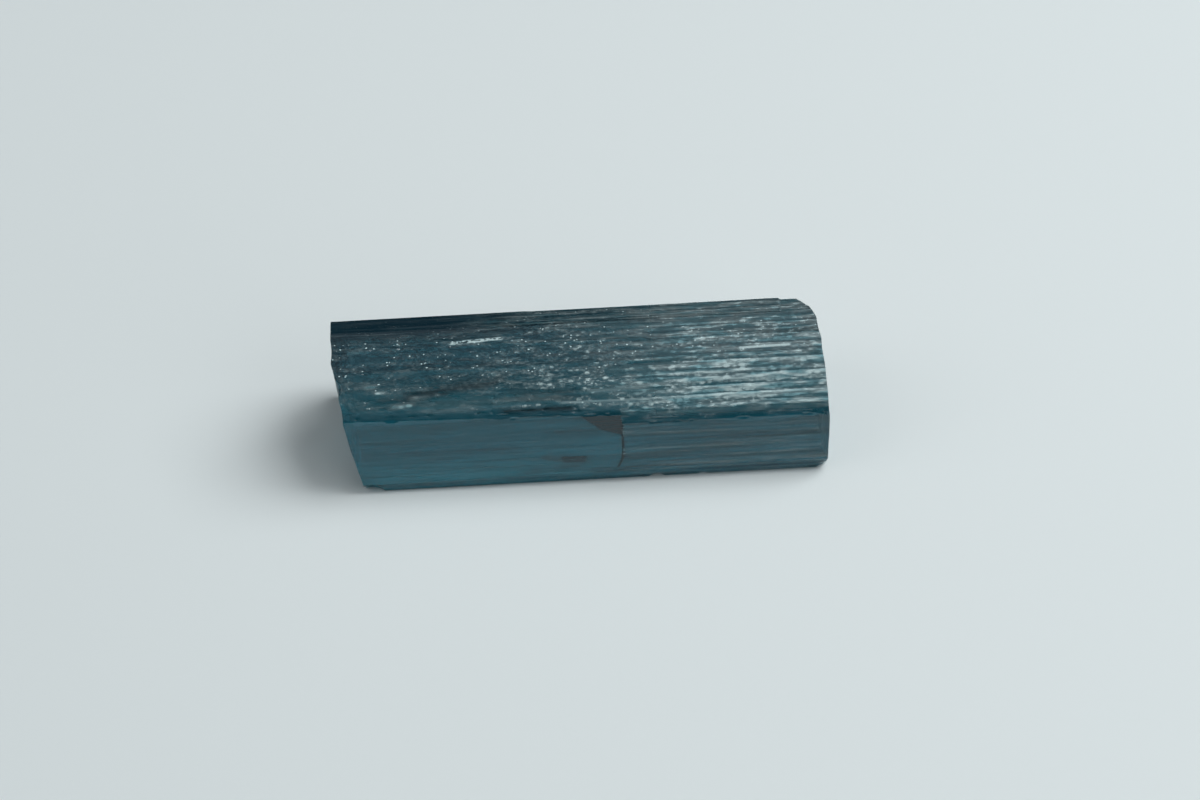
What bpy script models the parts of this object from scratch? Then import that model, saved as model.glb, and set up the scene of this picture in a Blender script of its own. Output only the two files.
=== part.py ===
"""A natural prism of dark blue-green crystal, broken across at both ends.

It lies on its broadest flat face with its long axis along X. Round the section it is a run of
narrow growth faces, and all but the one it rests on are furrowed lengthwise by striations.
Both ends are shell-like breaks, and a thin flake has parted from the lower front face.

Run it with: blender --background --python part.py
Sizes here are in millimetres, and finish() turns them into metres.
"""

import math

import bmesh
import bpy
from mathutils import Matrix, Vector, noise

MM = 0.001

# Driving dimensions
LENGTH = 18.0

# The growth faces from the front foot up, over the top and down the back: the way each looks,
# in degrees from +Y towards +Z, and its width. The last one runs down to the resting face.
FACES = (
    ("foot_bevel", 198.0, 0.53),
    ("lower_front", 171.0, 1.96),
    ("ridge_band", 152.0, 0.54),
    ("belly_low", 138.0, 0.93),
    ("belly_middle", 126.0, 0.90),
    ("belly_high", 113.0, 0.94),
    ("shoulder", 98.0, 0.89),
    ("crown", 80.0, 1.00),
    ("back_high", 44.0, 1.30),
    ("back_upper", 24.0, 1.20),
    ("back_middle", 6.0, 1.10),
    ("back_low", -16.0, 1.10),
    ("heel", -50.0, None),
)
DOWN = -90.0
RESTING_LINES = 10  # lines across the resting face

# Striations: lines along X, every second one a furrow
STRIATION = 0.155  # from one line to the next, on average
UNEVENNESS = 0.8  # how far a line may stray between its neighbours, as a share of that
CREST_WEAR = 0.020  # the most that a crest is worn below its face
FURROW_SHALLOW = 0.008
FURROW_DEEP = 0.055
FURROW_RUN = 3.4  # the length over which a furrow deepens and fades
FURROW_SHARE = ((-LENGTH / 2, 0.35), (-2.5, 0.45), (4.0, 1.0))  # of that depth at places along X
SMOOTH_FACES = {"foot_bevel": 0.5, "lower_front": 0.30, "ridge_band": 0.25}  # share of that depth

# Stations along the length, with a close pair where an outer growth layer ends in a ledge
STATION = 0.95
LEDGE = 7.45
LEDGE_SLOPE = 0.07
# Outer growth layers: where each ends along X, how raggedly, the faces it covers to the left of
# there, and its thickness
LAYERS = (
    (LEDGE, 0.0, ("crown", "back_high"), 0.070),
    (-4.10, 3.0, ("belly_high", "shoulder"), 0.040),
    (2.90, 4.0, ("belly_low", "belly_middle"), 0.035),
    (-2.60, 3.0, ("back_high", "back_upper", "back_middle"), 0.060),
    (4.30, 3.0, ("back_middle", "back_low"), 0.060),
)

# The breaks across the ends. A profile gives how far the break lies inside the full length,
# at distances up the section along a line that leans back from upright.
BREAK_LEAN = 40.0
LEFT_BREAK = (
    (0.0, 1.05), (0.2, 0.90), (0.6, 0.79), (1.5, 0.53), (2.4, 0.34),
    (3.05, 0.29), (4.15, 0.08), (4.65, 0.0), (6.4, 0.0),
)
RIGHT_BREAK = (
    (0.0, 0.28), (0.3, 0.12), (0.8, 0.08), (1.25, 0.04), (1.9, 0.0), (2.5, 0.02), (3.2, 0.05),
    (3.9, 0.08), (4.7, 0.14), (5.5, 0.27), (5.95, 0.47), (6.25, 0.80),
)
# Shell-like hollows in each break: how far back and how far up its centre is, radius and depth
LEFT_SHELLS = (
    (3.3, 2.7, 1.5, 0.40),
    (1.6, 1.6, 1.2, 0.26),
    (5.0, 2.0, 1.6, 0.52),
    (3.3, 0.5, 1.4, 0.46),
    (4.2, 3.3, 1.0, 0.30),
)
RIGHT_SHELLS = (
    (2.7, 2.4, 1.5, 0.44),
    (4.8, 1.5, 1.7, 0.58),
    (1.7, 0.8, 1.2, 0.28),
    (4.6, 3.5, 1.2, 0.36),
    (3.2, 0.2, 1.0, 0.34),
)
BREAK_RIPPLE = 0.06  # height of the unevenness over a whole break
RIPPLE_LENGTH = 1.1
BREAK_CELLS = 30  # cells each way in the surface of a break
BREAK_REACH = 8.4  # width of that surface, which is more than the section
BREAK_BLOCK = 2.5  # thickness of the block that has broken away

# The parted flake: its plane, and the outline of its curved right end at heights up that plane
FLAKE_FACING = 168.0
FLAKE_LEFT = (-LENGTH / 2, 0.20)  # X, and depth under the lower front face's upper edge there
FLAKE_RIGHT = (1.45, 0.10)
FLAKE_END = (
    (0.35, -0.60), (0.55, -0.05), (0.95, 0.35), (1.21, 0.65), (1.34, 0.88), (1.41, 1.25),
    (1.45, 1.80), (1.45, 2.60), (1.43, 4.20),
)
FLAKE_BLOCK = 1.2

# Scoops chipped from the edges: centre as (X, back from the front foot, up) and radius
CHIPS = (
    ((-9.12, 1.10, 4.12), 0.60),  # left rim at the belly
    ((-7.80, -0.52, -0.20), 0.74),  # front foot, left end
    ((8.85, -0.55, -0.25), 0.74),  # front foot, right end
    ((2.62, -0.42, -0.22), 0.56),  # front foot, beyond the flake's end
    ((4.30, -0.44, -0.26), 0.55),
    ((-9.00, 5.80, 3.30), 0.80),  # left rim at the back
    ((8.80, 6.35, 1.10), 0.75),  # right rim at the back
)
BALL_DETAIL = 2

# Etch pits: long shallow scoops along the upper faces, in rows between the ridge and the crown
PITTED_FACES = ("ridge_band", "belly_low", "belly_middle", "belly_high", "shoulder")
PIT_ROWS = 9
ROW_PITS = 5
PIT_STRAY = 0.5  # how far a pit may stray along its row, as a share of its own stretch
PIT_REACH = 7.9  # how far from the middle the rows run
PIT_LENGTH = (0.5, 1.5)
PIT_WIDTH = 0.26
PIT_DEPTH = 0.055

COLOUR = (0.016, 0.070, 0.092, 1.0)
ROUGHNESS = 0.16
IOR = 1.62


def tangent(facing):
    """The way along a face, from the foot up and over, as (y, z)."""
    angle = math.radians(facing)
    return Vector((math.sin(angle), -math.cos(angle)))


def outward(facing):
    """The way that a face looks, as (y, z)."""
    angle = math.radians(facing)
    return Vector((math.cos(angle), math.sin(angle)))


def chance(item, draw):
    """A fixed number from 0 to 1 for each item and draw."""
    return 0.5 + 0.5 * noise.cell(Vector((item + 0.5, draw + 0.5, 0.5)))


def corners():
    """The (y, z) corners of the section from the front foot on, centred on Y."""
    found = [Vector((0.0, 0.0))]
    for _, facing, width in FACES:
        along = tangent(facing)
        found.append(found[-1] + along * (width or found[-1].y / -along.y))
    middle = (min(c.x for c in found) + max(c.x for c in found)) / 2
    return [c - Vector((middle, 0.0)) for c in found]


CORNERS = corners()
FRONT_FOOT = CORNERS[0]


def outline():
    """The lines round the section: place, name and outward way of the face, whether a furrow."""
    found = []
    for (name, facing, _), start, end in zip(FACES, CORNERS, CORNERS[1:]):
        lines = 2 * max(1, round((end - start).length / STRIATION / 2))
        for i in range(lines):
            stray = (chance(len(found), 3) - 0.5) * UNEVENNESS if i else 0.0
            place = start.lerp(end, (i + stray) / lines)
            found.append((place, name, outward(facing), i % 2 == 1))
    for i in range(RESTING_LINES):
        place = CORNERS[-1].lerp(FRONT_FOOT, i / RESTING_LINES)
        found.append((place, "rest", outward(DOWN), False))
    return found


def stations():
    """The places along X at which the section is repeated, past both breaks."""
    reach = LENGTH / 2 + LEDGE_SLOPE
    count = round(2 * reach / STATION)
    found = [-reach + 2 * reach * i / count for i in range(count + 1)]
    found = [x for x in found if abs(x - LEDGE) > STATION / 4]
    return sorted([*found, LEDGE - LEDGE_SLOPE / 2, LEDGE + LEDGE_SLOPE / 2])


def worn(line, name, furrow, x):
    """How far a line of the outline lies below its full face at x."""
    if name == "rest":
        return 0.0
    own, later = chance(line, 0), chance(line, 4) - 0.5
    lost = sum(t for end, ragged, faces, t in LAYERS if name in faces and x > end + ragged * later)
    swell = 0.5 + 0.5 * noise.noise(Vector((x / FURROW_RUN, 3.7 * line, 0.0)))
    if furrow:
        depth = FURROW_SHALLOW + (FURROW_DEEP - FURROW_SHALLOW) * own * 2.0 * swell
        depth *= read_profile(FURROW_SHARE, x)
    else:
        depth = CREST_WEAR * own
    return lost + depth * SMOOTH_FACES.get(name, 1.0)


def grow(mesh, ring):
    """Extrudes a closed ring of points once and returns the new ring in the same order."""
    edges = [mesh.edges.get(pair) for pair in zip(ring, ring[1:] + ring[:1])]
    made = set(bmesh.ops.extrude_edge_only(mesh, edges=edges)["geom"])
    return [next(e.other_vert(v) for e in v.link_edges if e.other_vert(v) in made) for v in ring]


def prism():
    """The striated prism, before its ends are broken off."""
    mesh = bmesh.new()
    lines = outline()
    ring = bmesh.ops.create_circle(mesh, segments=len(lines), radius=1.0)["verts"]
    first = ring
    for step, x in enumerate(stations()):
        if step:
            ring = grow(mesh, ring)
        for i, (v, (place, name, way, furrow)) in enumerate(zip(ring, lines)):
            y, z = place - way * worn(i, name, furrow, x)
            v.co = (x, y, z)
    for rim in (first, ring):
        bmesh.ops.contextual_create(mesh, geom=rim)
    return mesh


def read_profile(profile, height):
    """The value of a profile at a height."""
    for (low, a), (high, b) in zip(profile, profile[1:]):
        if height <= high:
            return a + (b - a) * max(0.0, height - low) / (high - low)
    return profile[-1][1]


def break_block(side, profile, shells):
    """What has broken away past one end: side is -1 on the left and 1 on the right."""
    mesh = bmesh.new()
    bmesh.ops.create_grid(mesh, x_segments=BREAK_CELLS, y_segments=BREAK_CELLS, size=BREAK_REACH / 2)
    lean = math.radians(BREAK_LEAN)
    top = max(c.y for c in CORNERS)
    for v in mesh.verts:
        y, z = v.co.x, v.co.y + top / 2
        back = y - FRONT_FOOT.x
        inside = read_profile(profile, back * math.sin(lean) + z * math.cos(lean))
        hollows = [
            depth * (1 - ((back - b) ** 2 + (z - u) ** 2) / radius**2)
            for b, u, radius, depth in shells
        ]
        inside += max(0.0, *hollows)
        inside += BREAK_RIPPLE * abs(noise.noise(Vector((back, z, side)) / RIPPLE_LENGTH))
        v.co = (side * (LENGTH / 2 - inside), y, z)
    extrude_sheet(mesh, Vector((side * BREAK_BLOCK, 0.0, 0.0)))
    return mesh


def extrude_sheet(mesh, way):
    """Makes an open sheet a closed block by extruding it."""
    made = bmesh.ops.extrude_face_region(mesh, geom=mesh.faces[:], use_keep_orig=True)["geom"]
    bmesh.ops.translate(mesh, verts=[v for v in made if isinstance(v, bmesh.types.BMVert)], vec=way)
    bmesh.ops.recalc_face_normals(mesh, faces=mesh.faces)


def flake_block():
    """The flake that has parted from the lower front face, as a flat slab with a curved end."""
    mesh = bmesh.new()
    edge = CORNERS[2]
    up, out = tangent(FLAKE_FACING), outward(FLAKE_FACING)
    left = -LENGTH / 2 - FLAKE_BLOCK
    rim = [(left, FLAKE_END[-1][1]), (left, FLAKE_END[0][1]), *FLAKE_END]
    (x0, depth0), (x1, depth1) = FLAKE_LEFT, FLAKE_RIGHT
    points = []
    for x, height in rim:
        depth = depth0 + (depth1 - depth0) * (x - x0) / (x1 - x0)
        y, z = edge - out * depth + up * (height - edge.y)
        points.append(mesh.verts.new((x, y, z)))
    bmesh.ops.contextual_create(mesh, geom=points)
    extrude_sheet(mesh, Vector((0.0, *out)) * FLAKE_BLOCK)
    return mesh


def chip_ball(centre, radius):
    """The ball whose scoop a chip has left."""
    mesh = bmesh.new()
    x, back, up = centre
    place = Matrix.Translation((x, FRONT_FOOT.x + back, up))
    bmesh.ops.create_icosphere(mesh, subdivisions=BALL_DETAIL, radius=radius, matrix=place)
    return mesh


def etch_pits():
    """The long balls whose scoops are the etch pits, no two of them touching."""
    mesh = bmesh.new()
    lines = [(place, way) for place, name, way, _ in outline() if name in PITTED_FACES]
    for i in range(PIT_ROWS * ROW_PITS):
        row, turn = i % PIT_ROWS, i // PIT_ROWS
        place, way = lines[(2 * row + 1) * len(lines) // (2 * PIT_ROWS)]
        x = PIT_REACH * (2 * (turn + 0.5 + PIT_STRAY * (chance(i, 1) - 0.5)) / ROW_PITS - 1)
        length = PIT_LENGTH[0] + (PIT_LENGTH[1] - PIT_LENGTH[0]) * chance(i, 2)
        y, z = place + way * (PIT_WIDTH / 2 - PIT_DEPTH)
        shape = Matrix.Diagonal((length / 2, PIT_WIDTH / 2, PIT_WIDTH / 2, 1.0))
        matrix = Matrix.Translation((x, y, z)) @ shape
        bmesh.ops.create_icosphere(mesh, subdivisions=BALL_DETAIL, radius=1.0, matrix=matrix)
    return mesh


def material():
    made = bpy.data.materials.new("dark_blue_green_crystal")
    made.use_nodes = True
    made.diffuse_color = COLOUR
    surface = made.node_tree.nodes["Principled BSDF"]
    surface.inputs["Base Color"].default_value = COLOUR
    surface.inputs["Roughness"].default_value = ROUGHNESS
    surface.inputs["Metallic"].default_value = 0.0
    surface.inputs["IOR"].default_value = IOR
    return made


def finish(mesh, name, collection):
    """Writes a bmesh in millimetres to an object in metres."""
    bmesh.ops.scale(mesh, vec=(MM, MM, MM), verts=mesh.verts)
    bmesh.ops.triangulate(mesh, faces=mesh.faces)
    bmesh.ops.recalc_face_normals(mesh, faces=mesh.faces)
    data = bpy.data.meshes.new(name)
    mesh.to_mesh(data)
    mesh.free()
    made = bpy.data.objects.new(name, data)
    collection.objects.link(made)
    return made


def cut(piece, mesh, name, cutters):
    """Takes a shape away from a piece with an exact Boolean."""
    cutter = finish(mesh, name, cutters)
    cutter.hide_render = True
    cutter.display_type = "WIRE"
    modifier = piece.modifiers.new(name, "BOOLEAN")
    modifier.operation = "DIFFERENCE"
    modifier.solver = "EXACT"
    modifier.object = cutter


def new_collection(name):
    made = bpy.data.collections.new(name)
    bpy.context.scene.collection.children.link(made)
    return made


def build():
    for old in list(bpy.data.objects):
        bpy.data.objects.remove(old, do_unlink=True)
    specimen = new_collection("crystal_specimen")
    cutters = new_collection("cutters")
    crystal = finish(prism(), "crystal", specimen)
    crystal.data.materials.append(material())
    cut(crystal, break_block(-1, LEFT_BREAK, LEFT_SHELLS), "left_break", cutters)
    cut(crystal, break_block(1, RIGHT_BREAK, RIGHT_SHELLS), "right_break", cutters)
    cut(crystal, flake_block(), "parted_flake", cutters)
    cut(crystal, etch_pits(), "etch_pits", cutters)
    for i, (centre, radius) in enumerate(CHIPS):
        cut(crystal, chip_ball(centre, radius), f"chip_{i + 1}", cutters)


build()
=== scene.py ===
"""A dark blue-green crystal prism, furrowed lengthwise and broken across at both ends."""

import math

import bmesh
import bpy
from mathutils import Matrix, Vector, noise


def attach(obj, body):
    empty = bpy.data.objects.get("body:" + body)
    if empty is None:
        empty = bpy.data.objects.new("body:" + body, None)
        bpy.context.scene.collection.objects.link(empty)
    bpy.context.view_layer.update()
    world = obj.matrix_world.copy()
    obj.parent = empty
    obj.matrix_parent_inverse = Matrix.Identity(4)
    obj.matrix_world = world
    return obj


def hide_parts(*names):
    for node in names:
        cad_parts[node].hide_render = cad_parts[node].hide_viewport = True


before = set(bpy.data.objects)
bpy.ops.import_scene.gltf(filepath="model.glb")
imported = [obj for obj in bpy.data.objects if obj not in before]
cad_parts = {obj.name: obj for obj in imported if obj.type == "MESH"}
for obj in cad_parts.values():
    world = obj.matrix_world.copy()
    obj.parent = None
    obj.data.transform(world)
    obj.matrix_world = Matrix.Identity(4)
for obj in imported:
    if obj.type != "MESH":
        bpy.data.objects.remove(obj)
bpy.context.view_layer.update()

# The camera is a long macro lens that looks down at the crystal as it lies on its flat face. It is
# rolled a little, so that the crystal climbs to the right.
LENS = 180.0
SENSOR = 36.0
PICTURE_WIDTH = 0.04386
LOOK_DOWN = math.radians(40.0)
ROLL = math.radians(3.15)
AIM_RIGHT, AIM_UP, AIM_AWAY = 0.00064, 0.00104, -0.0020

away = Vector((0.0, math.cos(LOOK_DOWN), -math.sin(LOOK_DOWN)))
level_right = Vector((1.0, 0.0, 0.0))
level_up = level_right.cross(away)
right = level_right * math.cos(ROLL) - level_up * math.sin(ROLL)
up = level_right * math.sin(ROLL) + level_up * math.cos(ROLL)
place = right * AIM_RIGHT + up * AIM_UP + away * (AIM_AWAY - LENS / SENSOR * PICTURE_WIDTH)
camera = bpy.data.objects.new("camera", bpy.data.cameras.new("camera"))
camera.data.lens = LENS
camera.data.sensor_width = SENSOR
camera.data.clip_start = 0.01
camera.matrix_world = Matrix.Translation(place) @ Matrix((right, up, -away)).transposed().to_4x4()
bpy.context.scene.collection.objects.link(camera)
bpy.context.scene.camera = camera

# The crystal is one natural prism of clear blue-green stone. It grew as a run of narrow faces that
# are furrowed lengthwise, then broke across at both ends, and it lies on its broadest flat face.
# Sizes in this section are in millimetres until the mesh is scaled by MM.
MM = 0.001
LENGTH = 18.0
# Each growth face from the front foot up and over: its name, the way it looks in degrees from +Y
# towards +Z, its width, and how many fine lines there are to a striation on it.
FACES = (
    ("foot_bevel", 198.0, 0.53, 4),
    ("lower_front", 171.0, 1.96, 4),
    ("ridge_band", 152.0, 0.54, 4),
    ("belly_low", 138.0, 0.93, 4),
    ("belly_middle", 126.0, 0.90, 4),
    ("belly_high", 113.0, 0.94, 4),
    ("shoulder", 98.0, 0.89, 4),
    ("crown", 80.0, 1.00, 4),
    ("back_high", 44.0, 1.30, 3),
    ("back_upper", 24.0, 1.20, 3),
    ("back_middle", 6.0, 1.10, 3),
    ("back_low", -16.0, 1.10, 3),
    ("heel", -50.0, None, 3),
)
DOWN = -90.0
RESTING_LINES = 14
STRIATION = 0.155
UNEVENNESS = 0.8


def tangent(facing):
    """The way along a face, from the foot up and over, as (y, z)."""
    angle = math.radians(facing)
    return Vector((math.sin(angle), -math.cos(angle)))


def outward(facing):
    """The way that a face looks, as (y, z)."""
    angle = math.radians(facing)
    return Vector((math.cos(angle), math.sin(angle)))


def chance(item, draw):
    """A fixed number from 0 to 1 for each item and draw."""
    return 0.5 + 0.5 * noise.cell(Vector((item + 0.5, draw + 0.5, 0.5)))


def smooth_step(value, start, end):
    """0 before start, 1 after end, and smooth between."""
    share = min(max((value - start) / (end - start), 0.0), 1.0)
    return share * share * (3 - 2 * share)


def read_profile(profile, height):
    """The value of a profile of (height, value) pairs at a height."""
    for (below, a), (above, b) in zip(profile, profile[1:]):
        if height <= above:
            return a + (b - a) * max(0.0, height - below) / (above - below)
    return profile[-1][1]


def corners():
    """The (y, z) corners of the section from the front foot on, centred on Y."""
    found = [Vector((0.0, 0.0))]
    for _, facing, width, _ in FACES:
        along = tangent(facing)
        found.append(found[-1] + along * (width or found[-1].y / -along.y))
    middle = (min(c.x for c in found) + max(c.x for c in found)) / 2
    return [c - Vector((middle, 0.0)) for c in found]


CORNERS = corners()
FRONT_FOOT = CORNERS[0]
FRONT_RIDGE = CORNERS[2]


class Line:
    """One fine line along the crystal, by its place on the section and the way its face looks."""

    def __init__(self, place, name, facing, number, share):
        self.place = place
        self.name = name
        self.way = outward(facing)
        self.number = number  # of the striation it starts from
        self.share = share  # of the way to the next


def outline():
    """The fine lines round the section, from the front foot up, over and back under."""
    found = []
    number = 0
    for (name, facing, _, fine), start, end in zip(FACES, CORNERS, CORNERS[1:]):
        count = 2 * max(1, round((end - start).length / STRIATION / 2))
        edges = [
            (i + ((chance(number + i, 3) - 0.5) * UNEVENNESS if i else 0.0)) / count
            for i in range(count)
        ]
        for i, (a, b) in enumerate(zip(edges, [*edges[1:], 1.0])):
            for k in range(fine):
                place = start.lerp(end, a + (b - a) * k / fine)
                found.append(Line(place, name, facing, number + i, k / fine))
        number += count
    for i in range(RESTING_LINES):
        place = CORNERS[-1].lerp(FRONT_FOOT, i / RESTING_LINES)
        found.append(Line(place, "rest", DOWN, number, 0.0))
    return found


# Striations: every second one is a furrow, and outer growth layers end raggedly along them.
CREST_WEAR = 0.020
FURROW_SHALLOW = 0.008
FURROW_DEEP = 0.055
FURROW_RUN = 3.4  # the length over which a furrow swells and fades
FURROW_SPREAD = 3.7  # keeps neighbouring furrows apart in the noise
FURROW_SHARE = ((-LENGTH / 2, 0.35), (-2.5, 0.45), (4.0, 1.0))  # of that depth at places along X
SMOOTH_FACES = {"foot_bevel": 0.5, "lower_front": 0.30, "ridge_band": 0.25}  # and their relief
# Where each growth layer ends on X, how ragged that end is, the faces it covers, and its thickness.
LAYERS = (
    (7.45, 0.0, ("crown", "back_high"), 0.070),
    (-4.10, 3.0, ("belly_high", "shoulder"), 0.040),
    (2.90, 4.0, ("belly_low", "belly_middle"), 0.035),
    (-2.60, 3.0, ("back_high", "back_upper", "back_middle"), 0.060),
    (4.30, 3.0, ("back_middle", "back_low"), 0.060),
)
LEDGE_SLOPE = 0.03  # half the length of a clean end
LAYER_SLOPE = 0.45  # and of a ragged one
FINE_FURROWS = ((0.010, 2.4, 0.070), (0.006, 0.9, 0.045))  # depth, length and width
FINE_START = 0.4


def striation(number, name, x):
    """How far the crest or furrow of that number lies below its full face at x."""
    own, later = chance(number, 0), chance(number, 4) - 0.5
    if number % 2:
        swell = 0.5 + 0.5 * noise.noise(Vector((x / FURROW_RUN, FURROW_SPREAD * number, 0.0)))
        depth = FURROW_SHALLOW + (FURROW_DEEP - FURROW_SHALLOW) * own * 2.0 * swell
        depth *= read_profile(FURROW_SHARE, x)
    else:
        depth = CREST_WEAR * own
    depth *= SMOOTH_FACES.get(name, 1.0)
    for end, ragged, faces, thickness in LAYERS:
        if name in faces:
            slope = LAYER_SLOPE if ragged else LEDGE_SLOPE
            edge = end + ragged * later
            depth += thickness * smooth_step(x, edge - slope, edge + slope)
    return depth


# Etch pits: long scoops in rows along the upper faces, and far more small ones between them.
PITTED_FACES = ("ridge_band", "belly_low", "belly_middle", "belly_high", "shoulder")
PIT_ROWS = 9
ROW_PITS = 5
PIT_STRAY = 0.5  # out of its place in the row, as a share of the spacing
PIT_REACH = 7.9  # from the middle to the end of a row
PIT_LENGTH = (0.5, 1.5)
PIT_WIDTH = 0.26
PIT_DEPTH = 0.055
SMALL_PITS = 700
SMALL_PIT_LENGTH = (0.16, 0.60)
SMALL_PIT_WIDTH = (0.08, 0.17)
SMALL_PIT_DEPTH = 0.3  # as a share of its width
BELOW_ONE = 0.999  # keeps the last draw on the last line


class Pit:
    """A scoop with its centre line over the surface, as half a length and half a width."""

    def __init__(self, x, place, way, length, width, depth):
        self.x, self.place = x, place
        self.along = Vector((way.y, -way.x))
        self.half_length, self.half_width = length / 2, width / 2
        self.rise = width / 2 - depth

    def depth_at(self, x, place):
        """How far below the full face it reaches at a point, or less than nothing outside it."""
        reach = ((x - self.x) / self.half_length) ** 2
        if reach >= 1:
            return -1.0
        reach += ((place - self.place).dot(self.along) / self.half_width) ** 2
        if reach >= 1:
            return -1.0
        return self.half_width * math.sqrt(1 - reach) - self.rise


def within(least_and_most, share):
    """The value at that share of the way from the least to the most."""
    least, most = least_and_most
    return least + (most - least) * share


def pits(striation_lines):
    """All the pits, each long one where the solid has it."""
    pitted = [line for line in striation_lines if line.name in PITTED_FACES]
    found = []
    for i in range(PIT_ROWS * ROW_PITS):
        row, turn = i % PIT_ROWS, i // PIT_ROWS
        line = pitted[(2 * row + 1) * len(pitted) // (2 * PIT_ROWS)]
        x = PIT_REACH * (2 * (turn + 0.5 + PIT_STRAY * (chance(i, 1) - 0.5)) / ROW_PITS - 1)
        length = within(PIT_LENGTH, chance(i, 2))
        found.append(Pit(x, line.place, line.way, length, PIT_WIDTH, PIT_DEPTH))
    for i in range(SMALL_PITS):
        line = pitted[int(chance(i, 5) * len(pitted) * BELOW_ONE)]
        x = LENGTH * (chance(i, 6) - 0.5)
        length = within(SMALL_PIT_LENGTH, chance(i, 7) ** 2)
        width = within(SMALL_PIT_WIDTH, chance(i, 8))
        found.append(Pit(x, line.place, line.way, length, width, width * SMALL_PIT_DEPTH))
    return found


# The breaks across the ends: how far each lies inside the full length at heights up a line that
# leans back, and the shell-like hollows in it as (back from the front foot, up, radius, depth).
BREAK_LEAN = math.radians(40.0)
LEAN_BACK, LEAN_UP = math.sin(BREAK_LEAN), math.cos(BREAK_LEAN)
LEFT_BREAK = (
    (0.0, 1.05), (0.2, 0.90), (0.6, 0.79), (1.5, 0.53), (2.4, 0.34),
    (3.05, 0.29), (4.15, 0.08), (4.65, 0.0), (6.4, 0.0),
)
RIGHT_BREAK = (
    (0.0, 0.28), (0.3, 0.12), (0.8, 0.08), (1.25, 0.04), (1.9, 0.0), (2.5, 0.02), (3.2, 0.05),
    (3.9, 0.08), (4.7, 0.14), (5.5, 0.27), (5.95, 0.47), (6.25, 0.80),
)
LEFT_SHELLS = (
    (3.3, 2.7, 1.5, 0.40),
    (1.6, 1.6, 1.2, 0.26),
    (5.0, 2.0, 1.6, 0.52),
    (3.3, 0.5, 1.4, 0.46),
    (4.2, 3.3, 1.0, 0.30),
)
RIGHT_SHELLS = (
    (2.7, 2.4, 1.5, 0.44),
    (4.8, 1.5, 1.7, 0.58),
    (1.7, 0.8, 1.2, 0.28),
    (4.6, 3.5, 1.2, 0.36),
    (3.2, 0.2, 1.0, 0.34),
)
BREAK_RIPPLE = 0.06
RIPPLE_LENGTH = 1.1
CAP_RINGS = 18
MIDDLE = Vector((0.0, 2.0))  # (y, z) where the rings of a break close


def break_at(side, y, z):
    """X of the break on one side at (y, z): side is -1 on the left and 1 on the right."""
    profile, shells = (LEFT_BREAK, LEFT_SHELLS) if side < 0 else (RIGHT_BREAK, RIGHT_SHELLS)
    back = y - FRONT_FOOT.x
    inside = read_profile(profile, back * LEAN_BACK + z * LEAN_UP)
    hollows = [
        depth * (1 - ((back - b) ** 2 + (z - u) ** 2) / radius**2) for b, u, radius, depth in shells
    ]
    inside += max(0.0, *hollows)
    inside += BREAK_RIPPLE * abs(noise.noise(Vector((back, z, side)) / RIPPLE_LENGTH))
    return side * (LENGTH / 2 - inside)


# The flake that has parted from the lower front face: its plane, and its curved right end as
# (height up the plane, X) pairs.
FLAKE_FACING = 168.0
FLAKE_DEPTH = ((-LENGTH / 2, 0.20), (1.45, 0.10))  # at places along X
FLAKE_END = (
    (-0.60, 0.35), (-0.05, 0.55), (0.35, 0.95), (0.65, 1.21), (0.88, 1.34), (1.25, 1.41),
    (1.80, 1.45), (2.60, 1.45), (4.20, 1.43),
)
FLAKE_STEP = 0.012
FLAKE_RIPPLE = (3.0, 0.12)  # length and width
FLAKE_RELIEF = 0.0015


def height_up_flake(place):
    """How high a point of the section lies up the flake's plane."""
    return FRONT_RIDGE.y + (place - FRONT_RIDGE).dot(tangent(FLAKE_FACING))


def part_flake(x, place, end):
    """Moves a point of the section back to the plane that the flake left, if it stood before it."""
    out = outward(FLAKE_FACING)
    before = (place - FRONT_RIDGE).dot(out) + read_profile(FLAKE_DEPTH, x)
    if before <= 0 or x > end:
        return place
    length, width = FLAKE_RIPPLE
    ripple = noise.noise(Vector((x / length, height_up_flake(place) / width, 2.0)))
    return place - out * (before + FLAKE_RELIEF * ripple)


# Chips along the edges: each scoop's centre as (X, back from the front foot, up), and its radius.
CHIPS = (
    ((-9.12, 1.10, 4.12), 0.60),
    ((-7.80, -0.52, -0.20), 0.74),
    ((8.85, -0.55, -0.25), 0.74),
    ((2.62, -0.42, -0.22), 0.56),
    ((4.30, -0.44, -0.26), 0.55),
    ((-9.00, 5.80, 3.30), 0.80),
    ((8.80, 6.35, 1.10), 0.75),
)


def chip(co):
    """Moves a point out of any chip's scoop."""
    for (x, back, rise), radius in CHIPS:
        if abs(co.x - x) < radius:
            centre = Vector((x, FRONT_FOOT.x + back, rise))
            gap = co - centre
            if gap.length < radius:
                return centre + gap * (radius / gap.length)
    return co


# The mesh: a ring of fine lines drawn out along X, with one close pair of stations that follows
# the flake's end, then closed at both ends by rings that shrink to a point.
STATIONS = 260
STEP_STATION = round(STATIONS * (0.5 + FLAKE_END[-1][1] / LENGTH))
SHARP_EDGE = math.radians(35.0)

lines = outline()
all_pits = pits([line for line in lines if line.share == 0])
pit_bins = {}
for pit in all_pits:
    for slot in range(math.floor(pit.x - pit.half_length), math.floor(pit.x + pit.half_length) + 1):
        pit_bins.setdefault(slot, []).append(pit)

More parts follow.
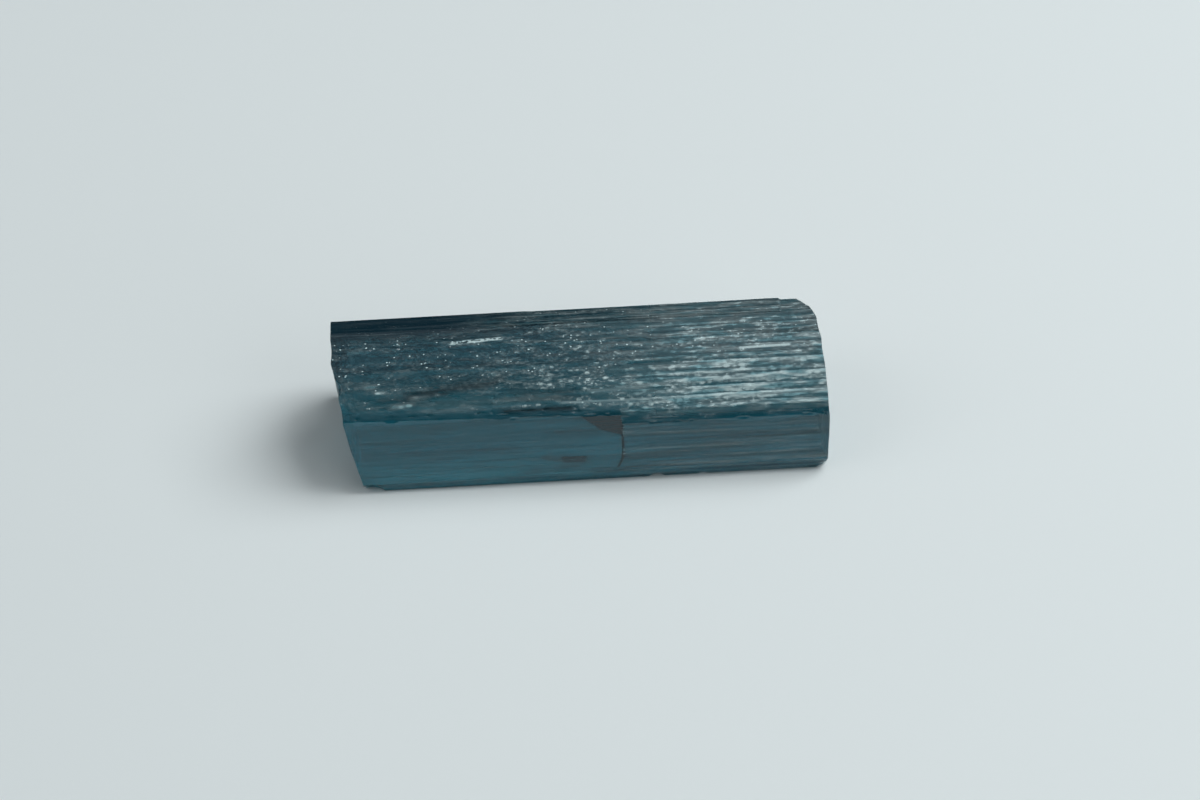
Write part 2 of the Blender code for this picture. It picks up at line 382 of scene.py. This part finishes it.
mesh = bmesh.new()
line_of = mesh.verts.layers.int.new("line")
crest_of = mesh.verts.layers.float.new("crest")
broken_of = mesh.verts.layers.float.new("broken")
for number, v in enumerate(bmesh.ops.create_circle(mesh, segments=len(lines), radius=1.0)["verts"]):
    v[line_of] = number
bmesh.ops.spin(
    mesh, geom=mesh.verts[:] + mesh.edges[:], axis=(0.0, 0.0, 1.0), cent=(0.0, 0.0, 0.0),
    dvec=(0.0, 0.0, 1.0), angle=0.0, steps=STATIONS, use_duplicate=False,
)
ends = [(break_at(-1, *line.place), break_at(1, *line.place)) for line in lines]
flake_ends = [read_profile(FLAKE_END, height_up_flake(line.place)) for line in lines]
for v in mesh.verts:
    line, (left, rightmost), end = (found[v[line_of]] for found in (lines, ends, flake_ends))
    stops = (
        (0, left), (STEP_STATION, end - FLAKE_STEP), (STEP_STATION + 1, end + FLAKE_STEP),
        (STATIONS, rightmost),
    )
    x = read_profile(stops, v.co.z)
    place = line.place
    v[crest_of] = line.share if line.number % 2 else 1 - line.share
    if line.name != "rest":
        depth = striation(line.number, line.name, x) * (1 - line.share)
        if line.share:
            depth += striation(line.number + 1, line.name, x) * line.share
        share = SMOOTH_FACES.get(line.name, 1.0)
        for deepest, length, width in FINE_FURROWS:
            drawn = Vector((x / length + FINE_START, *(place / width)))
            depth += share * deepest * abs(noise.noise(drawn))
        if line.name in PITTED_FACES:
            pitted = [pit.depth_at(x, place) for pit in pit_bins.get(math.floor(x), ())]
            depth = max(depth, *pitted) if pitted else depth
        place = part_flake(x, place - line.way * depth, end)
    v.co = chip(Vector((x, *place)))

for side in (-1, 1):
    rim = [e for e in mesh.edges if e.is_boundary and side * e.verts[0].co.x > 0]
    for cap_ring in range(1, CAP_RINGS + 1):
        made = bmesh.ops.extrude_edge_only(mesh, edges=rim)["geom"]
        fresh = [v for v in made if isinstance(v, bmesh.types.BMVert)]
        rim = [e for e in made if isinstance(e, bmesh.types.BMEdge) and e.is_boundary]
        share = (CAP_RINGS + 0.5 - cap_ring) / (CAP_RINGS + 1.5 - cap_ring)
        for v in fresh:
            place = MIDDLE.lerp(Vector(v.co.yz), share)
            v.co = (break_at(side, *place), *place)
            v[broken_of] = 1.0
    bmesh.ops.pointmerge(mesh, verts=fresh, merge_co=(break_at(side, *MIDDLE), *MIDDLE))
bmesh.ops.scale(mesh, vec=(MM, MM, MM), verts=mesh.verts)
bmesh.ops.recalc_face_normals(mesh, faces=mesh.faces)
data = bpy.data.meshes.new("crystal_stone")
mesh.to_mesh(data)
mesh.free()
data.shade_smooth()
data.set_sharp_from_angle(angle=SHARP_EDGE)
stone = bpy.data.objects.new("crystal_stone", data)
bpy.context.scene.collection.objects.link(stone)


# Sockets of the Mix node's colour kind, by number because its other kinds share their names.
FACTOR, FIRST, OTHER, MIXED = 0, 6, 7, 2


class Value:
    """A shader socket that arithmetic can be written on."""

    tree = None

    def __init__(self, socket):
        self.socket = socket

    @classmethod
    def node(cls, kind, settings, sockets, output=0):
        """Adds a node: its settings are set first, then values or links go into its sockets."""
        made = cls.tree.nodes.new("ShaderNode" + kind)
        for name, value in settings.items():
            setattr(made, name, value)
        for name, value in sockets.items():
            if isinstance(value, Value):
                cls.tree.links.new(value.socket, made.inputs[name])
            else:
                made.inputs[name].default_value = value
        return cls(made.outputs[output])

    def math(self, operation, a, b):
        return self.node("Math", {"operation": operation}, {0: a, 1: b})

    def __add__(self, other):
        return self.math("ADD", self, other)

    def __sub__(self, other):
        return self.math("SUBTRACT", self, other)

    def __rsub__(self, other):
        return self.math("SUBTRACT", other, self)

    def __mul__(self, other):
        return self.math("MULTIPLY", self, other)

    __radd__ = __add__
    __rmul__ = __mul__

    def rising(self, start, end):
        """0 up to start and 1 from end on, or falling where end is the lower."""
        return self.node(
            "MapRange", {"interpolation_type": "SMOOTHSTEP"},
            {"Value": self, "From Min": start, "From Max": end},
        )

    def between(self, start, end, blur):
        """1 from start to end and 0 outside, with both edges blurred by that much."""
        return self.rising(start - blur, start + blur) * self.rising(end + blur, end - blur)

    def or_more(self, other):
        """The greater of the two."""
        return self.math("MAXIMUM", self, other)

    def tinted(self, share, colour):
        """This colour, with that share of another mixed in."""
        sockets = {FACTOR: share, FIRST: self, OTHER: colour}
        return self.node("Mix", {"data_type": "RGBA"}, sockets, MIXED)


stone_look = bpy.data.materials.new("clear_blue_green_stone")
stone_look.use_nodes = True
Value.tree = stone_look.node_tree
spot = Value.node("TexCoord", {}, {}, "Object")
spot = Value.node("Mapping", {}, {"Vector": spot, "Scale": (1 / MM,) * 3})
across, deep, height = (Value.node("SeparateXYZ", {}, {"Vector": spot}, axis) for axis in range(3))


def drawn_out(length, width, start):
    """Places measured in that length along the crystal and that width across it."""
    scale = (1 / length, 1 / width, 1 / width)
    return Value.node("Mapping", {}, {"Vector": spot, "Location": (start,) * 3, "Scale": scale})


def grain(length, width, detail, start):
    """Noise drawn out along the crystal, with grains of that length and width in millimetres."""
    places = drawn_out(length, width, start)
    return Value.node("TexNoise", {}, {"Vector": places, "Scale": 1.0, "Detail": detail})


def dots(length, width, start):
    """The distance to the nearest of many scattered spots, as a share of their length and width."""
    return Value.node("TexVoronoi", {}, {"Vector": drawn_out(length, width, start), "Scale": 1.0})


# Where on the front a point is: how far up the slope that leans back, and how far above the ridge
# that the lower front face ends in. Where the flake parted, the ridge lies higher and falls to the
# right. A fade is where it starts and where it is full.
FRONT_FADE = (4.55, 4.45)
RESTING_FADE = (0.03, 0.01)
RIDGE_RISE = 1.96
FLAKED_RISE = 0.34
FLAKED_FALL = 0.0305  # per millimetre to the right
FLAKED_FADE = (FLAKE_END[-1][1] + 0.02, FLAKE_END[-1][1] - 0.02)
SMOOTH_FADE = (0.30, 0.02)
BAND_FADES = ((0.0, 0.04), (0.50, 0.20))
RIGHT_FADE = (-2.0, 4.5)
LEFT_FADE = (-1.0, -5.0)
HIGH_FADE = (3.4, 4.8)
CROWN_FADE = (5.35, 5.75)
back = deep - FRONT_FOOT.x
rise = back * LEAN_BACK + height * LEAN_UP
broken = Value.node("Attribute", {"attribute_name": "broken"}, {}, "Fac")
resting = height.rising(*RESTING_FADE) * (1 - broken)
front = back.rising(*FRONT_FADE) * (1 - resting) * (1 - broken)
flaked = across.rising(*FLAKED_FADE)
above_ridge = rise - RIDGE_RISE - flaked * (FLAKED_RISE - FLAKED_FALL * across)
smooth = resting.or_more(front * above_ridge.rising(*SMOOTH_FADE))
dark_band = front * above_ridge.rising(*BAND_FADES[0]) * above_ridge.rising(*BAND_FADES[1])
right_third = across.rising(*RIGHT_FADE)
left_third = across.rising(*LEFT_FADE)
high = front * rise.rising(*HIGH_FADE)
crown = front * rise.rising(*CROWN_FADE)
crest = Value.node("Attribute", {"attribute_name": "crest"}, {}, "Fac")

# Frost and sheen: rows of pale grains along the crests where the striated faces are etched,
# strongest on the right, where they are partly a painted sheen of the lamps; they turn to scattered
# grains and painted sparkles towards the left, and to an even bloom on the breaks.
BREAK_FROST = 0.14
grit = grain(length=0.14, width=0.07, detail=1.0, start=0.31)
clouds = grain(length=1.1, width=0.22, detail=1.5, start=0.57)
runs = grain(length=2.6, width=0.15, detail=1.0, start=0.13)
threads = grain(length=7.0, width=0.05, detail=1.0, start=0.23).rising(0.52, 0.64)
hairlines = grain(length=2.6, width=0.055, detail=1.0, start=0.71).rising(0.50, 0.62)
fine = grit.rising(0.46, 0.66)
rows = (crest + 0.5 * grit + 0.9 * runs).rising(0.78, 1.15)
blobs = (dots(length=0.34, width=0.21, start=0.73) + 0.3 * grit).rising(0.60, 0.30)
nicks = (dots(length=0.60, width=0.11, start=0.37) + 0.4 * grit).rising(0.68, 0.46)
streaked = 0.18 + 0.24 * runs.rising(0.40, 0.62) + 0.36 * blobs + 0.28 * nicks + 0.20 * fine
streaked = rows * streaked + 0.16 + 0.15 * threads
grainy = 0.42 * fine + clouds.rising(0.38, 0.56) * (0.15 + 0.50 * blobs)
# Painted sparkles: pale specks that stand in for glints of the lamps on the etch pits.
painted_sparkles = (dots(length=0.20, width=0.13, start=0.43) + 0.3 * grit).rising(0.40, 0.24)
painted_sparkles = painted_sparkles * clouds.rising(0.54 - 0.10 * high, 0.62 - 0.10 * high)
frost_and_sheen = streaked * right_third * (1.25 - 0.35 * high)
frost_and_sheen = frost_and_sheen.or_more(grainy * (1 - 0.50 * left_third) * (1.1 - 0.3 * high))
frost_and_sheen = frost_and_sheen.or_more(0.7 * crown * hairlines)
frost_and_sheen = frost_and_sheen.or_more(painted_sparkles)
# Along the crown, most on the left, the pale frost gives way to the painted shade there.
frost_and_sheen = frost_and_sheen * (1 - smooth) * (1 - 0.75 * dark_band) * (1 - crown * (0.22 + 0.72 * left_third))
frost_and_sheen = frost_and_sheen.or_more(0.42 * threads * front * smooth * (1 - flaked))
frost_and_sheen = (frost_and_sheen * (1 - broken)).or_more(BREAK_FROST * broken)


def bar(start, end, thickness, waviness, blur):
    """A bar across the front from one (X, rise) to another: waviness is how far it strays,
    and blur how far its edges fade, as a share of its thickness."""
    slope = (end[1] - start[1]) / (end[0] - start[0])
    off = rise - (across - start[0]) * slope + (clouds - 0.5) * waviness
    off = off.between(start[1] - thickness / 2, start[1] + thickness / 2, thickness * blur)
    return front * off * across.between(start[0], end[0], thickness)


def bars(rows):
    """The strongest at each point of a set of bars, each given as its strength and its shape."""
    strongest, *others = (strength * bar(*shape) for strength, *shape in rows)
    for other in others:
        strongest = strongest.or_more(other)
    return strongest


# Marks: smudges inside the stone; painted shadows on the front; painted glints, threads and veils
# of light along the striations; and the dark line at the flake's end, a crack with painted shade
# along its step. A bar's row is its strength, start, end, thickness, waviness and blur.
SMUDGES = (
    (1.0, (-6.5, 3.32), (-2.8, 3.82), 0.30, 0.4, 0.5),
    (0.5, (-7.4, 3.26), (-6.3, 3.32), 0.14, 0.2, 0.5),
    (0.4, (-2.9, 3.42), (-0.2, 3.15), 0.55, 0.8, 0.5),
    (1.0, (-2.9, 2.64), (-0.2, 2.62), 0.20, 0.2, 0.5),
    (0.3, (-8.4, 1.26), (-2.4, 1.20), 0.24, 0.3, 0.5),
    (0.4, (-2.2, 0.42), (-1.6, 0.40), 0.16, 0.4, 0.5),
    (0.4, (0.2, 0.30), (1.7, 0.28), 0.16, 0.4, 0.5),
    (0.6, (1.0, 0.55), (2.2, 0.68), 0.06, 0.1, 0.5),
)
GLINTS = (
    (1.0, (5.8, 4.49), (7.75, 4.52), 0.10, 0.0, 0.25),
    (0.6, (3.7, 4.46), (6.0, 4.49), 0.08, 0.0, 0.25),
    (0.6, (-0.8, 2.85), (8.9, 2.79), 0.10, 0.0, 0.25),
    (0.6, (0.2, 3.22), (2.6, 3.27), 0.20, 0.0, 0.5),
    (0.3, (4.6, 1.14), (7.4, 1.06), 0.08, 0.2, 0.5),
)
BROKEN_GLINT = ((-4.7, 5.22), (-2.7, 5.32), 0.12, 0.1, 0.25)
VEILS = (
    (1.0, (-7.9, 3.77), (-7.3, 3.80), 0.18, 0.0, 0.5),
    (1.0, (-7.5, 3.55), (-7.0, 3.57), 0.16, 0.0, 0.5),
    (1.0, (-7.0, 3.02), (-6.0, 3.05), 0.20, 0.0, 0.5),
    (0.4, (-6.2, 3.25), (-5.5, 3.28), 0.22, 0.0, 0.5),
    (0.5, (-5.9, 2.95), (-0.6, 3.05), 0.40, 0.4, 0.5),
)
# Painted shadows: short dark bars low on the lower front face.
SHADOWS = (
    (1.0, (-0.85, 0.86), (0.13, 0.83), 0.12, 0.1, 0.25),
    (0.85, (-0.85, 0.73), (0.13, 0.70), 0.16, 0.1, 0.25),
    (0.6, (-1.55, 0.93), (-1.20, 0.92), 0.13, 0.1, 0.25),
    (0.3, (-1.30, 0.82), (-0.80, 0.80), 0.20, 0.1, 0.25),
    (0.8, (-0.92, 0.54), (-0.16, 0.51), 0.06, 0.1, 0.25),
)
# The painted triangular shadow hangs from the ridge. Each side below falls by so much per
# millimetre to the right, and has a fade.
TRIANGLE_SIDES = ((0.72, (2.20, 2.32)), (0.29, (1.92, 2.02)))
TRIANGLE_TOP = (0.06, -0.02)
CRACK_SHADE_X = (1.39, 1.51)
CRACK_SHADE_HEIGHT = (0.62, 2.45)
CRACK_SHADE_BEND = (1.35, 0.45)  # the height under which it bends to the left, and how strongly
smudges = bars(SMUDGES)
left_side, right_side = ((rise + fall * across).rising(*fade) for fall, fade in TRIANGLE_SIDES)
shadow = front * flaked * (left_side * right_side) * above_ridge.rising(*TRIANGLE_TOP)
shadow = shadow.or_more(bars(SHADOWS))
# Painted shade: a dark line along the step where the flake ends, bending left near the foot.
under = (CRACK_SHADE_BEND[0] - height).or_more(0.0)
crack_and_shade = (across + CRACK_SHADE_BEND[1] * under * under).between(*CRACK_SHADE_X, 0.03) * front
crack_and_shade = crack_and_shade * height.between(*CRACK_SHADE_HEIGHT, 0.05)
# Painted glints and veils: pale bars that stand in for light caught along the striations.
glints = bars(GLINTS).or_more(bar(*BROKEN_GLINT) * grit.rising(0.30, 0.52))
veils = bars(VEILS) * (0.65 + 0.35 * blobs)
frost_and_sheen = (frost_and_sheen * (1 - 0.8 * smudges)).or_more(glints).or_more(veils)

# The stone's colours, from its body to its frost, among them painted light and shade. The haze is
# the least share of tinted surface that is mixed with the clear glass.
LOW_TEAL = (0.012, 0.170, 0.230, 1.0)
HIGH_TEAL = (0.002, 0.050, 0.078, 1.0)
FACE_TEAL = (0.006, 0.210, 0.300, 1.0)
DULL_TEAL = (0.004, 0.075, 0.102, 1.0)
BAND_TEAL = (0.010, 0.130, 0.180, 1.0)
CROWN_DARK_AND_SHADE = (0.000, 0.015, 0.026, 1.0)
FOOT_LIT_TEAL = (0.014, 0.300, 0.400, 1.0)
SMUDGE_AND_SHADE_DARK = (0.004, 0.024, 0.033, 1.0)
FROST_AND_SHEEN_GREY = (0.47, 0.58, 0.585, 1.0)
FROST_AND_SHEEN_TEAL = (0.18, 0.34, 0.375, 1.0)
SPARKLE_WHITE = (0.64, 0.79, 0.80, 1.0)
HAZE = 0.45
HIGH_TEAL_FADE = (2.8, 4.8)
FOOT_LIT_FADE = (1.6, 0.3)
CROWN_SHADE_FADE = (5.35, 5.7)


def plain(colour):
    """A colour to tint."""
    made = Value.node("RGB", {}, {})
    made.socket.default_value = colour
    return made


dull = grain(length=5.0, width=0.12, detail=1.0, start=0.47).rising(0.45, 0.62)
body = plain(LOW_TEAL)
# The smooth faces are a lighter teal, partly painted light on the lower front face.
body = body.tinted(rise.rising(*HIGH_TEAL_FADE), HIGH_TEAL).tinted(smooth, FACE_TEAL)
# Painted light: the front is a brighter teal low down, except on the right.
body = body.tinted(0.9 * front * rise.rising(*FOOT_LIT_FADE) * (1 - right_third), FOOT_LIT_TEAL)
body = body.tinted(dull * (0.40 + 0.45 * (1 - flaked) * smooth), DULL_TEAL)
body = body.tinted(0.65 * hairlines * smooth, DULL_TEAL)
body = body.tinted(dark_band, BAND_TEAL)
body = body.tinted(0.7 * high * grit.rising(0.50, 0.34), CROWN_DARK_AND_SHADE)
# Painted shade: a dark band along the crown, darkest on the left.
crown_shade = front * rise.rising(*CROWN_SHADE_FADE) * (0.4 + 0.6 * left_third)
body = body.tinted(crown_shade, CROWN_DARK_AND_SHADE)
# The smudges are the stone's own; the shadows and the crack's shade darkened with them are painted
# shade.
body = body.tinted(smudges.or_more(shadow).or_more(crack_and_shade), SMUDGE_AND_SHADE_DARK)
pale = plain(FROST_AND_SHEEN_TEAL).tinted(clouds.rising(0.40, 0.58).or_more(glints), FROST_AND_SHEEN_GREY)
pale = pale.tinted(painted_sparkles, SPARKLE_WHITE)

# The surface is glossy glass over the absorbing stone, a little rougher where it is etched.
STONE_IOR = 1.62
BUMP_HEIGHT = 0.010
SMOOTH_ROUGHNESS = 0.13
ETCHED_ROUGHNESS = 0.03  # more than on the smooth faces
RIGHT_ROUGHNESS = 0.14  # more again at the right
ABSORBED = (0.05, 0.58, 0.66, 1.0)
ABSORPTION = 700.0  # per metre
bumps = (0.4 * grit + 0.3 * runs + 0.3 * blobs) * (1 - 0.9 * smooth)
bumped = Value.node("Bump", {}, {"Strength": 1.0, "Distance": BUMP_HEIGHT * MM, "Height": bumps})
etched = ETCHED_ROUGHNESS + RIGHT_ROUGHNESS * right_third
rough = SMOOTH_ROUGHNESS + etched * (1 - smooth)
clear = Value.node(
    "BsdfPrincipled", {},
    {
        "Base Color": (1.0, 1.0, 1.0, 1.0), "Transmission Weight": 1.0, "IOR": STONE_IOR,
        "Roughness": rough, "Normal": bumped,
    },
)
hazy = Value.node(
    "BsdfPrincipled", {},
    {
        "Base Color": body.tinted(frost_and_sheen, pale), "IOR": STONE_IOR, "Roughness": rough,
        "Normal": bumped,
    },
)
cloudy = frost_and_sheen.or_more(HAZE).or_more(smudges * 0.9).or_more(shadow).or_more(crack_and_shade)
# On the left of the crown the painted shade is mixed in at full strength.
cloudy = cloudy.or_more(crown * left_third)
mixed = Value.node("MixShader", {}, {0: cloudy, 1: clear, 2: hazy})
absorbing = Value.node("VolumeAbsorption", {}, {"Color": ABSORBED, "Density": ABSORPTION})
output = stone_look.node_tree.nodes["Material Output"]
stone_look.node_tree.links.new(mixed.socket, output.inputs["Surface"])
stone_look.node_tree.links.new(absorbing.socket, output.inputs["Volume"])
stone.data.materials.append(stone_look)
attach(stone, "root")
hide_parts("crystal")

# The floor is one plain pale sheet with a matt finish, which the crystal lies on loose. It is set a
# hair below the resting face, so that the two surfaces never fight.
FLOOR_REACH = 1.2
FLOOR_GAP = 0.00002
SHEET_PALE = (0.755, 0.778, 0.776, 1.0)
SHEET_ROUGHNESS = 0.9
mesh = bmesh.new()
bmesh.ops.create_grid(mesh, x_segments=1, y_segments=1, size=FLOOR_REACH)
data = bpy.data.meshes.new("floor")
mesh.to_mesh(data)
mesh.free()
floor = bpy.data.objects.new("floor", data)
floor.location.z = -FLOOR_GAP
bpy.context.scene.collection.objects.link(floor)
floor_look = bpy.data.materials.new("pale_sheet")
floor_look.use_nodes = True
sheet = floor_look.node_tree.nodes["Principled BSDF"]
sheet.inputs["Base Color"].default_value = SHEET_PALE
sheet.inputs["Roughness"].default_value = SHEET_ROUGHNESS
floor.data.materials.append(floor_look)

# The light is one soft lamp above and behind on the right, weaker ones in front and on the left,
# and a pale surround overhead that dims towards the horizon.
LAMPS = (  # name, width, watts and place
    ("key", 0.24, 0.90, (0.19, 0.05, 0.26)),
    ("fill", 0.30, 0.34, (0.26, -0.30, 0.22)),
    ("side", 0.30, 0.15, (-0.28, -0.06, 0.24)),
)
LAMP_COLOUR = (0.93, 0.985, 1.0)
SURROUND_COLOUR = (0.80, 0.88, 0.92, 1.0)
HORIZON_STRENGTH = 0.03
OVERHEAD_STRENGTH = 0.30  # more than at the horizon
OVERHEAD_FADE = (0.30, 0.80)
for name, width, watts, place in LAMPS:
    lamp = bpy.data.objects.new(name, bpy.data.lights.new(name, "AREA"))
    lamp.data.shape = "SQUARE"
    lamp.data.size = width
    lamp.data.energy = watts
    lamp.data.color = LAMP_COLOUR
    lamp.location = place
    lamp.rotation_euler = (-Vector(place)).to_track_quat("-Z", "Y").to_euler()
    bpy.context.scene.collection.objects.link(lamp)

world = bpy.data.worlds.new("surround")
world.use_nodes = True
Value.tree = world.node_tree
direction = Value.node("TexCoord", {}, {}, "Generated")
overhead = Value.node("SeparateXYZ", {}, {"Vector": direction}, "Z").rising(*OVERHEAD_FADE)
strength = HORIZON_STRENGTH + OVERHEAD_STRENGTH * overhead
surround = world.node_tree.nodes["Background"]
surround.inputs["Color"].default_value = SURROUND_COLOUR
world.node_tree.links.new(strength.socket, surround.inputs["Strength"])
bpy.context.scene.world = world
bpy.context.scene.view_settings.view_transform = "Standard"
